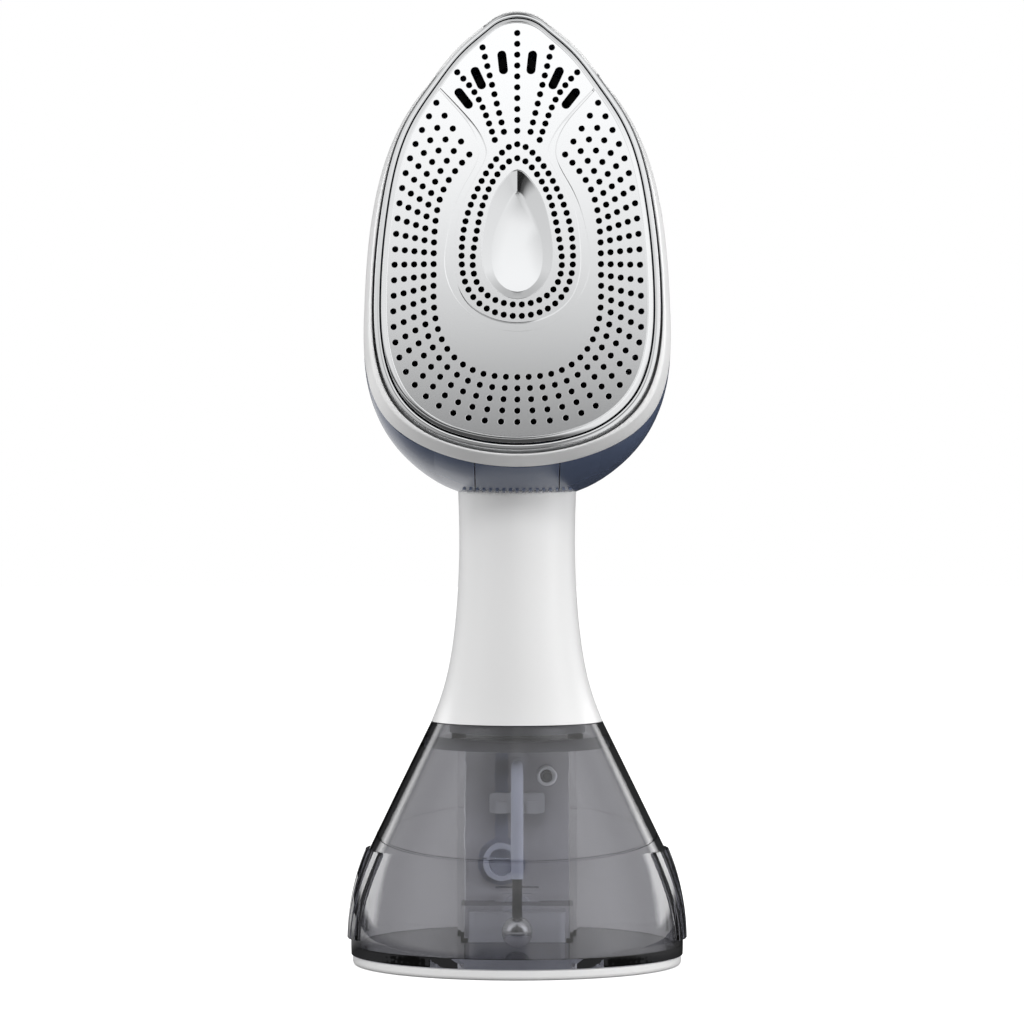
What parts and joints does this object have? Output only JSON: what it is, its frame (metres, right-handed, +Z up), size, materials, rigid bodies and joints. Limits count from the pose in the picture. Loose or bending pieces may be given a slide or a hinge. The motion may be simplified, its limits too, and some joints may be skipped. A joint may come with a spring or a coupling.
{
  "type": "handheld garment steamer",
  "caption": "Handheld garment steamer with a perforated iron-shaped soleplate, a straight handle and a flared slide-out water tank on a foot.",
  "frame": {"origin": "centre line of the foot's underside, in the plane that the steamer stands on", "axes": "+Z up through the handle, soleplate facing -Y, +X to the right as seen from the front"},
  "size_m": [0.1068, 0.0974, 0.2975],
  "materials": {
    "soleplate_aluminium": "brushed",
    "bright_trim": "polished",
    "white_plastic": "satin",
    "blue_plastic": "satin",
    "silicone": "matte",
    "cast_aluminium": "cast",
    "steel": "brushed",
    "dark_plastic": "matte",
    "grey_plastic": "satin",
    "rubber": "matte",
    "copper": "wound",
    "circuit_board": "matte",
    "smoked_plastic": "clear"
  },
  "bodies": {
    "body": {"soleplate": "soleplate_aluminium", "trim_ring": "bright_trim", "bezel": "white_plastic", "head_casing": "blue_plastic", "chamber_gasket": "silicone", "steam_chamber": "cast_aluminium", "heating_element": "steel", "thermostat": "steel", "thermal_fuse": "dark_plastic", "water_inlet": "cast_aluminium", "heat_shield": "steel", "shield_screws": "steel", "trigger_pin": "steel", "trigger_spring": "steel", "micro_switch": "dark_plastic", "handle_front_shell": "white_plastic", "handle_rear_shell": "white_plastic", "spine": "white_plastic", "foot": "white_plastic", "dock_block": "grey_plastic", "foot_pads": "rubber", "foot_screws": "steel", "cord_gland": "rubber", "water_nipple": "grey_plastic", "nipple_seal": "rubber", "coupling_plug": "grey_plastic", "pump_body": "grey_plastic", "pump_coil": "copper", "control_board": "circuit_board", "button_switches": "dark_plastic", "suction_hose": "silicone", "pressure_hose": "silicone"},
    "tank": {"tank_shell": "smoked_plastic", "tank_base": "smoked_plastic", "fill_stopper": "silicone", "tube_clip": "smoked_plastic"},
    "pickup": {"pickup_hose": "silicone", "pickup_stem": "steel", "pickup_weight": "bright_trim"},
    "trigger": {"trigger": "blue_plastic"},
    "switch_plunger": {"switch_plunger": "dark_plastic"},
    "pump_piston": {"pump_piston": "steel"},
    "power_button": {"power_button": "blue_plastic"},
    "steam_button": {"steam_button": "blue_plastic"}
  },
  "joints": [
    {"name": "tank_slide", "type": "slide", "parent": "body", "child": "tank", "axis": [0, -1, 0], "range_m": [0, 0.115]},
    {"name": "pickup_swing", "type": "hinge", "parent": "tank", "child": "pickup", "pos_m": [0, 0.008, 0.061], "axis": [0, 1, 0], "range_deg": [-25, 25]},
    {"name": "trigger_pull", "type": "hinge", "parent": "body", "child": "trigger", "pos_m": [0, -0.036, 0.1576], "axis": [1, 0, 0], "range_deg": [0, 5], "stiffness_Nm_per_rad": 0.2, "deforming": ["trigger_spring"]},
    {"name": "switch_press", "type": "slide", "parent": "body", "child": "switch_plunger", "axis": [0, 0, 1], "range_m": [0, 0.00067]},
    {"name": "piston_stroke", "type": "slide", "parent": "body", "child": "pump_piston", "axis": [0, 0, 1], "range_m": [0, 0.0025], "stiffness_N_per_m": 200},
    {"name": "power_press", "type": "slide", "parent": "body", "child": "power_button", "axis": [0, -1, 0], "range_m": [0, 0.0008], "stiffness_N_per_m": 500},
    {"name": "steam_press", "type": "slide", "parent": "body", "child": "steam_button", "axis": [0, -1, 0], "range_m": [0, 0.0008], "stiffness_N_per_m": 500}
  ],
  "couplings": [
    {"joint": "switch_press", "follows": "trigger_pull", "m_per_rad": 0.0076}
  ]
}
